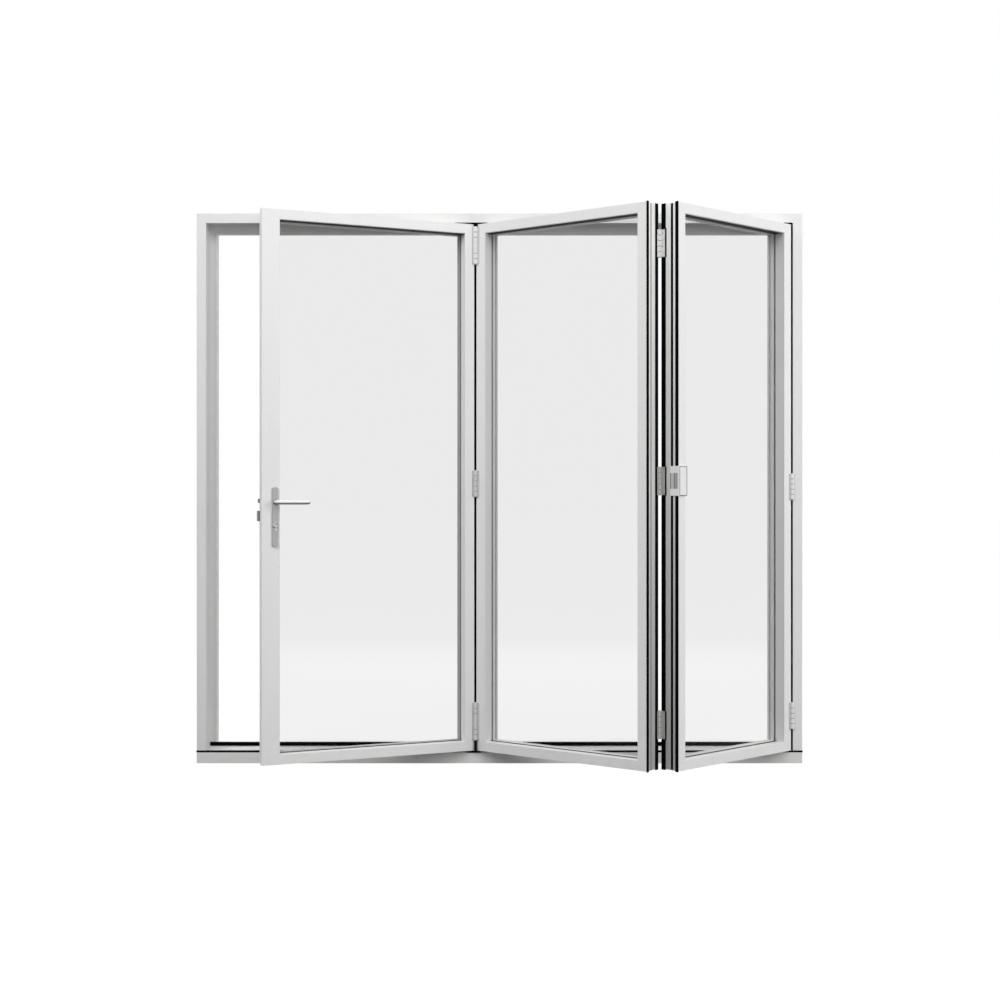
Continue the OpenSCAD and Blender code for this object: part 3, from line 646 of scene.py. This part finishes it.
class PATIO_OT_joint_seals(bpy.types.Operator):
    """Add the webs and the cover lips that close the hinged joints, and black pads of painted shade at
    them
    """

    bl_idname = "patio.joint_seals"
    bl_label = "Joint seals"

    def execute(self, context):
        low, high = LEAF_Z[0] + 0.5, LEAF_Z[1] - 0.5
        webs, lips = Shape(), Shape()
        jamb = AT_FRAME @ Matrix.Translation((INNER_X, 0, 0))
        lip = ((1.0, 0.4), (-5.2, 0.4), (-6.0, 1.0), (-6.0, 1.9), (-5.4, 2.6), (1.0, 2.9))
        # Each joint: both edges, the hinges, and the edge that has the lip
        for left, right, spans, lip_at, lip_side in ((AT_LEAF[1], AT_LEAF[2], JOINT_12, AT_LEAF[2], 1),
                                                     (AT_LEAF[3], jamb, JOINT_JAMB, AT_LEAF[3], -1)):
            for z0, z1 in between(spans, low, high):
                outline = self.sagging(left, right, 4.0, 9.0) + self.sagging(left, right, 6.5, 13.0)[::-1]
                webs.loft([[Vector((p.x, p.y, z * 0.001)) for p in outline] for z in (z0, z1)])
                if spans is JOINT_JAMB or z1 < high:
                    lips.loft([[Vector((lip_side * x, y, z)) for x, y in lip] for z in (z0, z1)], lip_at)
                if spans is JOINT_12 and z1 < high:
                    lips.bar((-1, 0.2, z0), (1.2, 2.6, z1), left)
        webs.piece("joint_webs", Matrix(), "door_frame", "seal_rubber", material_of("seal rubber"))
        lips.piece("joint_lips", Matrix(), "door_frame", "frame_paint", material_of("leaf paint"))
        # Black pads of painted shade: two under the head, over the hinged joints, and one in front of the
        # threshold
        pads = Shape()
        for x0, x1 in ((JOINT_AXIS[0] - 88, JOINT_AXIS[0] + 50), (JAMB_AXIS[0] - 40, INNER_X - 0.5)):
            pads.bar((x0, 0.4, LEAF_Z[1] + 0.8), (x1, 9, HEAD_Z + 0.5))
            pads.bar((x0 + 8, -0.5, LEAF_Z[1] + 3), (min(x1 - 4, INNER_X - 1), 1, HEAD_Z + 1.8))
        pads.bar((-129, -1.6, 41.3), (-72, 2, 46.8))
        pads.piece("joint_shadow_pads", AT_FRAME, "door_frame", "seal_rubber", material_of("seal rubber"), 0.6)
        return {"FINISHED"}

    @staticmethod
    def sagging(left, right, depth, sag, steps=8):
        """A line in metres from one edge of a joint to the other, which sags inwards."""
        start, end = left @ Vector((-1, depth, 0)), right @ Vector((1, depth, 0))
        line = []
        for i in range(steps + 1):
            share = i / steps
            line.append(start.lerp(end, share) + Vector((0, 4 * share * (1 - share) * sag * 0.001, 0)))
        return line


class PATIO_OT_leaf_edges(bpy.types.Operator):
    """Add the bare metal channels and the thermal breaks in the edges of the fold"""

    bl_idname = "patio.leaf_edges"
    bl_label = "Leaf edges"

    def execute(self, context):
        z0, z1 = LEAF_Z
        # For each leaf: the edge's X, the side it faces, and the depths of its parts
        edges = (
            (2, LEAF_W[2], 1, ((15, 27.5), (35.5, 60)), (28, 35), "break plastic"),
            (3, 0.0, -1, ((36.5, 60), (14.6, 25)), (25, 36.5), "seal rubber"),
        )
        for leaf, x, side, channels, gap, fill in edges:
            channel = Shape()
            for y0, y1 in channels:
                ring = ((-0.4, y0), (0.9, y0), (0.9, y0 + 1.4), (0.3, y0 + 1.8),
                        (0.3, y1 - 1.8), (0.9, y1 - 1.4), (0.9, y1), (-0.4, y1))
                channel.loft([[Vector((x + side * a, y, z)) for a, y in ring]
                              for z in (z0 + 0.5, z1 - 0.5)])
            channel.piece(f"leaf_{leaf}_edge_channel", AT_LOW_EDGE[leaf], "door_frame", "hinge_metal",
                          material_of("edge metal"))
            y0, y1 = gap
            middle = (y0 + y1) / 2
            ring = ((-0.3, y0), (0.4, y0), (0.5, y0 + 1), (0.2, middle),
                    (0.5, y1 - 1), (0.4, y1), (-0.3, y1))
            strip = Shape().loft([[Vector((x + side * a, y, z)) for a, y in ring]
                                  for z in (z0 + 1, z1 - 1)])
            strip.piece(f"leaf_{leaf}_thermal_break", AT_LOW_EDGE[leaf], "door_frame", "seal_rubber",
                        material_of(fill))
        return {"FINISHED"}


def screw_rings(radius):
    """A low screw head with a hexagon socket, standing on height 0."""
    head = turned((radius, -0.3), (radius, 0.25), (radius * 0.9, 0.5), (radius * 0.66, 0.6))
    socket = radius * 0.55
    return head + [
        circle(socket, 0.6, corners=6), circle(socket * 0.92, -0.2, corners=6),
        circle(socket * 0.3, -0.25)]


class PATIO_OT_hinges(bpy.types.Operator):
    """Finish the hinges and add their screws, wings, bushes and pin caps, and dark rims and strips of
    painted shadow beside them
    """

    bl_idname = "patio.hinges"
    bl_label = "Hinges"

    def execute(self, context):
        radius = context.scene.patio_details.screw * 1000
        finish(("top_carriage_hinge", "upper_jamb_hinge", "lower_jamb_hinge"),
               material_of("cap plastic"), 0.35)
        # Painted light: the upper fold hinge takes a lighter paint than the other white hinges, as it sits
        # in shade between the leaves
        finish(("upper_fold_hinge",), material_of("lit hinge paint"), 0.35)
        finish(("bottom_carriage_hinge", "middle_leaf_hinge", "middle_fold_hinge", "lower_fold_hinge"),
               material_of("hinge metal"), 0.35)
        screws = Shape()
        # Each plate: its place, the X of its open face, the side it faces, the depths of its screws,
        # their size and its hinges
        plates = (
            (AT_LEAF[1], PLATE, 1, (12, 21), 1.0, JOINT_12),
            (AT_LEAF[2], -PLATE, -1, (12, 21), 1.0, JOINT_12),
            (AT_LEAF[2], LEAF_W[2] + PLATE, 1, (76, 76), 0.7, JOINT_23),
            (AT_LEAF[3], -LEAF_W[3] - PLATE, -1, (67.5, 74.5), 0.85, JOINT_23),
            (AT_LEAF[3], PLATE, 1, (12, 21), 1.0, JOINT_JAMB),
            (AT_FRAME, INNER_X - PLATE, -1, (12, 21), 1.0, JOINT_JAMB),
        )
        for place, x, side, depths, size, spans in plates:
            out = Matrix.Rotation(side * pi / 2, 4, "Y")
            for low, high in spans:
                for i, share in enumerate((0.14, 0.38, 0.62, 0.86)):
                    spot = Matrix.Translation((x, depths[i % 2], low + share * (high - low)))
                    screws.loft(screw_rings(radius * size), place @ spot @ out)
        screws.piece("hinge_screws", Matrix(), "door_frame", "hinge_metal", material_of("hinge metal"))
        self.wings()
        self.seams()
        caps = Shape()
        profile = ((6.2, -0.5), (6.2, 0.8), (5.2, 1.6), (3.2, 2.2), (1.0, 2.4))
        for axis, spans in ((JOINT_AXIS, JOINT_12), (FOLD_AXIS, JOINT_23), (JAMB_AXIS, JOINT_JAMB)):
            for span in spans:
                for end, way in zip(span, (-1, 1)):
                    spot = Matrix.Translation((*axis, end))
                    caps.loft(turned(*((r, way * h) for r, h in profile)), spot)
        caps.piece("hinge_pin_caps", AT_FRAME, "door_frame", "hinge_metal", material_of("hinge metal"))
        return {"FINISHED"}

    @staticmethod
    def wings():
        """Flat wings beside the barrels on the leaves' faces and the jamb, each on a dark plate whose rim
        shows round it: painted shadow of the hinge.
        """
        wings, shadow_rims = Shape(), Shape()
        jamb = AT_FRAME @ Matrix.Translation((INNER_X, 0, 0))
        for place, side, spans in ((AT_LEAF[1], -1, JOINT_12), (AT_LEAF[2], 1, JOINT_12),
                                   (AT_LEAF[3], -1, JOINT_JAMB), (jamb, 1, JOINT_JAMB)):
            for low, high in spans:
                for shape, reach, front, back, inset in ((wings, 6.6, -2.4, -0.7, 2),
                                                         (shadow_rims, 7.5, -0.8, 0.2, 1)):
                    x0, x1 = sorted((side * 1.0, side * reach))
                    shape.bar((x0, front, low + inset), (x1, back, high - inset), place)
        wings.piece("hinge_wings", Matrix(), "door_frame", "hinge_metal", material_of("cap plastic"), 0.4)
        # The dark rims round the wings are painted shadow of the hinges
        shadow_rims.piece("hinge_shadow_rims", Matrix(), "door_frame", "seal_rubber",
                      material_of("break plastic"))

    @staticmethod
    def seams():
        """Dark bushes in the grooves between the knuckles, and black strips of painted shadow beside the
        fold hinges.
        """
        bushes = Shape()
        bush = turned((6.8, -1.1), (7.75, -0.9), (7.75, 0.9), (6.8, 1.1))
        # Each joint: its pin, its hinges and how many knuckles each of them has
        for axis, spans, counts in ((JOINT_AXIS, JOINT_12, (7, 5, 7)), (FOLD_AXIS, JOINT_23, (5, 5, 5)),
                                    (JAMB_AXIS, JOINT_JAMB, (5, 5))):
            for (low, high), count in zip(spans, counts):
                for i in (1, 2, count - 2, count - 1):
                    spot = Matrix.Translation((*axis, low + i * (high - low) / count))
                    bushes.loft(bush, spot)
        bushes.piece("hinge_bushes", AT_FRAME, "door_frame", "seal_rubber", material_of("break plastic"))
        strips = Shape()
        # Black strips beside the fold hinges: painted shadow along the barrels
        for low, high in JOINT_23:
            strips.bar((LEAF_W[2] - 0.2, 61, low - 2), (LEAF_W[2] + 3, 72.4, high + 2), AT_LEAF[2])
            strips.bar((-LEAF_W[3] - 3, 57.5, low - 2), (-LEAF_W[3] + 0.2, 62.4, high + 2), AT_LEAF[3])
        strips.piece("fold_shadow_strips", Matrix(), "door_frame", "seal_rubber",
                     material_of("seal rubber"))


class PATIO_OT_carriages(bpy.types.Operator):
    """Finish the roller carriage in the head and the guide in the threshold"""

    bl_idname = "patio.carriages"
    bl_label = "Carriages"

    def execute(self, context):
        finish(("top_carriage", "bottom_carriage"), material_of("carriage black"), 0.3)
        return {"FINISHED"}


class PATIO_OT_lock(bpy.types.Operator):
    """Finish the lock, and add the screws of its edge plate and the roses around the key"""

    bl_idname = "patio.lock"
    bl_label = "Lock"

    def execute(self, context):
        finish(("lock_edge_plate",), material_of("hinge metal"), 0.4)
        finish(("latch", "deadbolt"), material_of("lock metal"), 0.9)
        finish(("key_cylinder",), material_of("rose metal"), 0.5)
        screws = Shape()
        face, out = 9, Matrix.Rotation(-pi / 2, 4, "Y")
        for z in (867, 1067):
            screws.loft(screw_rings(3.6), Matrix.Translation((face, LOCK_Y, z)) @ out)
        screws.piece("lock_plate_screws", AT_LOCK, "door_frame", "lock_metal", material_of("lock metal"))
        roses = Shape()
        profile = ((8.5, 0), (10.6, 0), (10.6, 2.2), (10.3, 4.2), (9.5, 5.8), (8.9, 6.2), (8.5, 5.8))
        for face, way in ((-PLATE_T, 1), (LEAF_D + PLATE_T, -1)):
            at = Matrix.Translation((BACKSET, face, KEY_Z)) @ Matrix.Rotation(way * pi / 2, 4, "X")
            roses.ring(turned(*profile, count=48), at)
        roses.piece("key_roses", AT_LOCK, "door_frame", "handle_metal", material_of("rose metal"))
        return {"FINISHED"}


def lever_rings(face, way):
    """Rings of one lever from the leaf's face, out and along it. way is -1 in front and 1 at the back."""
    far, bend = way * (LEVER_OUT - 0.3), 13.0
    x0 = BACKSET
    path = [((x0, face + way * 1.5), (0, way), 8.2), ((x0, face + way * 16), (0, way), 7.6)]
    path.append(((x0, face + way * 26), (0, way), 7.8))
    start = face + far - way * bend
    for i in range(9):
        turn = pi / 2 * i / 8
        centre = (x0 + bend * (1 - cos(turn)), start + way * bend * sin(turn))
        path.append((centre, (sin(turn), way * cos(turn)), 7.9 + 0.5 * sin(turn)))
    tip = x0 + LEVER_L
    for short, r in ((82, 8.5), (47, 8.6), (22, 8.6), (10, 8.4), (5, 7.6), (2, 5.6), (0.4, 2.2)):
        path.append(((tip - short, face + far), (1, 0), r))
    rings = []
    for (x, y), (dx, dy), r in path:
        side = Vector((-dy, dx, 0))
        along = min(max((x - x0) / 30, 0), 1)
        flat = 1 - 0.12 * along
        ring = []
        for i in range(32):
            angle = 2 * pi * i / 32
            round_it = side * (r * flat * cos(angle)) + Vector((0, 0, r * sin(angle)))
            ring.append(Vector((x, y, LEVER_Z)) + round_it)
        rings.append(ring)
    return rings


class PATIO_OT_handles(bpy.types.Operator):
    """Finish the handle plates, and shape the lever with its neck, its collars and its spindle"""

    bl_idname = "patio.handles"
    bl_label = "Handles"

    def execute(self, context):
        satin = material_of("handle metal")
        finish(("front_handle_plate", "back_handle_plate"), satin, 2.2)
        lever = Shape().loft(lever_rings(0, -1)).loft(lever_rings(LEAF_D, 1))
        lever.bar((BACKSET - 3.5, -6, LEVER_Z - 3.5), (BACKSET + 3.5, LEAF_D + 6, LEVER_Z + 3.5))
        lever.piece("lever", AT_LOCK, "lever", "handle_metal", material_of("lever metal"),
                    replaces=("lever_handle",))
        radius = context.scene.patio_details.rose * 1000
        collars = Shape()
        profile = ((9.6, -0.5), (radius, -0.5), (radius, 0.8), (radius - 0.7, 1.5),
                   (9.9, 1.8), (9.6, 1.5))
        for face, way in ((-PLATE_T, 1), (LEAF_D + PLATE_T, -1)):
            at = Matrix.Translation((BACKSET, face, LEVER_Z)) @ Matrix.Rotation(way * pi / 2, 4, "X")
            collars.ring(turned(*profile, count=40), at)
        collars.piece("lever_collars", AT_LOCK, "door_frame", "handle_metal", satin)
        screws = Shape()
        out = Matrix.Rotation(-pi / 2, 4, "X")
        for z in (LEVER_Z + 40, LEVER_Z - 148):
            screws.loft(screw_rings(3.2), Matrix.Translation((BACKSET, LEAF_D + PLATE_T, z)) @ out)
        screws.piece("handle_plate_screws", AT_LOCK, "door_frame", "handle_metal",
                     material_of("lock metal"))
        return {"FINISHED"}


class PATIO_OT_folding_pull(bpy.types.Operator):
    """Finish the folding pull and add its dark rim, a black sheet and the bars between its lugs; the rim
    and the sheet are painted shade along the plate's edge and in the gaps between the bars
    """

    bl_idname = "patio.folding_pull"
    bl_label = "Folding pull"

    def execute(self, context):
        finish(("folding_pull",), material_of("leaf paint"), 0.8)
        z0, z1 = PULL_Z
        bars = Shape()
        for y0, y1 in ((1, 7.0), (10.6, 15.4), (19, 34)):
            bars.bar((-4.0, y0, z0 + 24.5), (-2.9, y1, z1 - 24.5))
        bars.piece("folding_pull_bars", AT_LEAF_3_EDGE, "door_frame", "hinge_metal",
                   material_of("hinge metal"), 0.4)
        # A black sheet behind the bars: painted shade in the gaps between them
        shade_sheet = Shape().bar((-3.2, 0.5, z0 + 24.8), (0.2, 37, z1 - 24.8))
        shade_sheet.piece("folding_pull_shade_sheet", AT_LEAF_3_EDGE, "door_frame", "seal_rubber",
                      material_of("dark plastic"))
        # The rim is dark steel: painted shade along the edge of the plate
        outer, inner = (0.4, z0 + 0.4, 41.8, z1 - 0.4), (2.6, z0 + 2.6, 39.6, z1 - 2.6)
        rim = Shape().surround(outer, inner, -4.9, -3.8)
        rim.piece("folding_pull_rim", AT_LEAF_3_EDGE, "door_frame", "hinge_metal",
                  material_of("shaded rim steel"), 0.4)
        return {"FINISHED"}


def aimed(name, data, spot, target):
    """Links a lamp or camera at a spot, looking at a target."""
    made = bpy.data.objects.new(name, data)
    made.location = spot
    made.rotation_euler = (Vector(target) - Vector(spot)).to_track_quat("-Z", "Y").to_euler()
    bpy.context.scene.collection.objects.link(made)
    return made


def soft_lamp(name, power, size, spot, target):
    """A large lamp that isn't mirrored in the glass."""
    lamp = bpy.data.lights.new(name, "AREA")
    lamp.shape, lamp.size, lamp.size_y, lamp.energy = "RECTANGLE", size[0], size[1], power
    aimed(name, lamp, spot, target).visible_glossy = False


class PATIO_OT_stage(bpy.types.Operator):
    """Set up the camera, the lamps, the pale floor and the white surroundings"""

    bl_idname = "patio.stage"
    bl_label = "Stage"

    def execute(self, context):
        s, scene = context.scene.patio_stage, context.scene
        camera = bpy.data.cameras.new("front camera")
        camera.sensor_width, camera.lens, camera.clip_end = 36.0, s.lens, 200.0
        # The door's middle is half a pixel left of the picture's, and the horizon 1.6 pixels above it
        camera.shift_y = -0.0016
        spot = Vector((0.00195, -FRAME_D / 2000 - s.distance, s.height))
        scene.camera = aimed("front camera", camera, spot, spot + Vector((0, 1, 0)))
        wide, upright = (6.0, 2.2), (2.0, 3.0)
        soft_lamp("key lamp", s.key, wide, (0.1, -3.7, 4.3), (0.1, 0.0, 1.3))
        soft_lamp("fill lamp", s.fill, upright, (4.6, -3.4, 2.4), (0.2, 0.0, 1.2))
        soft_lamp("left lamp", s.left, upright, (-3.8, -3.2, 4.2), (0.1, 0.0, 1.5))
        soft_lamp("back lamp", s.back, wide, (0.0, 4.2, 2.6), (0.0, 0.0, 1.1))
        self.white_world(scene, s)
        self.pale_floor(s)
        scene.view_settings.view_transform = "Standard"
        return {"FINISHED"}

    @staticmethod
    def seen_directly(tree):
        """1 for the rays that look straight, in a mirror or through glass at the surroundings."""
        mask = tree.node("LightPath", out="Is Camera Ray")
        for kind in ("Is Glossy Ray", "Is Transmission Ray"):
            mask = mask.larger(tree.node("LightPath", out=kind))
        return mask

    def white_world(self, scene, settings):
        """Surroundings that look white and light the door with a soft sky."""
        world = bpy.data.worlds.new("white surroundings")
        scene.world = world
        t = Tree(world)
        up = t.node("SeparateXYZ", None, {0: t.node("TexCoord", out="Generated")}, out="Z")
        up = (up * 0.5 + 0.5).clipped()
        sky = t.blend(up, shade((1, 1, 1), settings.sky * 0.62), shade((1, 1, 1), settings.sky))
        colour = t.blend(self.seen_directly(t), sky, (1, 1, 1))
        t.node("OutputWorld", None, {"Surface": t.node("Background", None, {"Color": colour})})

    def pale_floor(self, settings):
        """A floor that takes the door's shadow and otherwise looks white."""
        material, t = new_material("pale floor")
        drift = t.noise(0.8, 2.0)
        pale = t.blend(drift, shade((1, 1, 1), settings.floor), shade((1, 1, 1), settings.floor * 1.03))
        matt = t.node("BsdfDiffuse", None, {"Color": pale})
        glow = t.node("Emission", None, {"Color": (1, 1, 1, 1), "Strength": self.seen_directly(t) * 0.94})
        t.surface(t.node("AddShader", None, {0: matt, 1: glow}))
        half, near, far = 30, -12, 60
        ring = [(-half, near, 0), (half, near, 0), (half, far, 0), (-half, far, 0)]
        mesh = bpy.data.meshes.new("floor")
        mesh.from_pydata(ring, [], [(0, 1, 2, 3)])
        mesh.materials.append(material)
        made = bpy.data.objects.new("floor", mesh)
        made.location.z = -0.0005
        bpy.context.scene.collection.objects.link(made)


class PATIO_PT_panel(bpy.types.Panel):
    """Lists the steps and the settings of the door"""

    bl_idname = "PATIO_PT_panel"
    bl_label = "Patio Door"
    bl_space_type = "VIEW_3D"
    bl_region_type = "UI"
    bl_category = "Patio Door"

    def draw(self, context):
        for step in STEPS:
            self.layout.operator(step.bl_idname)
        for name, group in SETTINGS.items():
            box = self.layout.box()
            for setting in group.__annotations__:
                box.prop(getattr(context.scene, name), setting)


SETTINGS = {"patio_finish": PatioFinish, "patio_details": PatioDetails, "patio_stage": PatioStage}
STEPS = (
    PATIO_OT_finishes, PATIO_OT_outer_frame, PATIO_OT_threshold, PATIO_OT_leaves, PATIO_OT_joint_seals,
    PATIO_OT_leaf_edges, PATIO_OT_hinges, PATIO_OT_carriages, PATIO_OT_lock, PATIO_OT_handles,
    PATIO_OT_folding_pull, PATIO_OT_stage,
)
CLASSES = (*SETTINGS.values(), *STEPS, PATIO_PT_panel)


def register():
    for item in CLASSES:
        bpy.utils.register_class(item)
    for name, group in SETTINGS.items():
        setattr(bpy.types.Scene, name, PointerProperty(type=group))


def unregister():
    for name in SETTINGS:
        delattr(bpy.types.Scene, name)
    for item in reversed(CLASSES):
        bpy.utils.unregister_class(item)


def main():
    register()
    for step in STEPS:
        group, name = step.bl_idname.split(".")
        getattr(getattr(bpy.ops, group), name)()


if __name__ == "__main__":
    main()
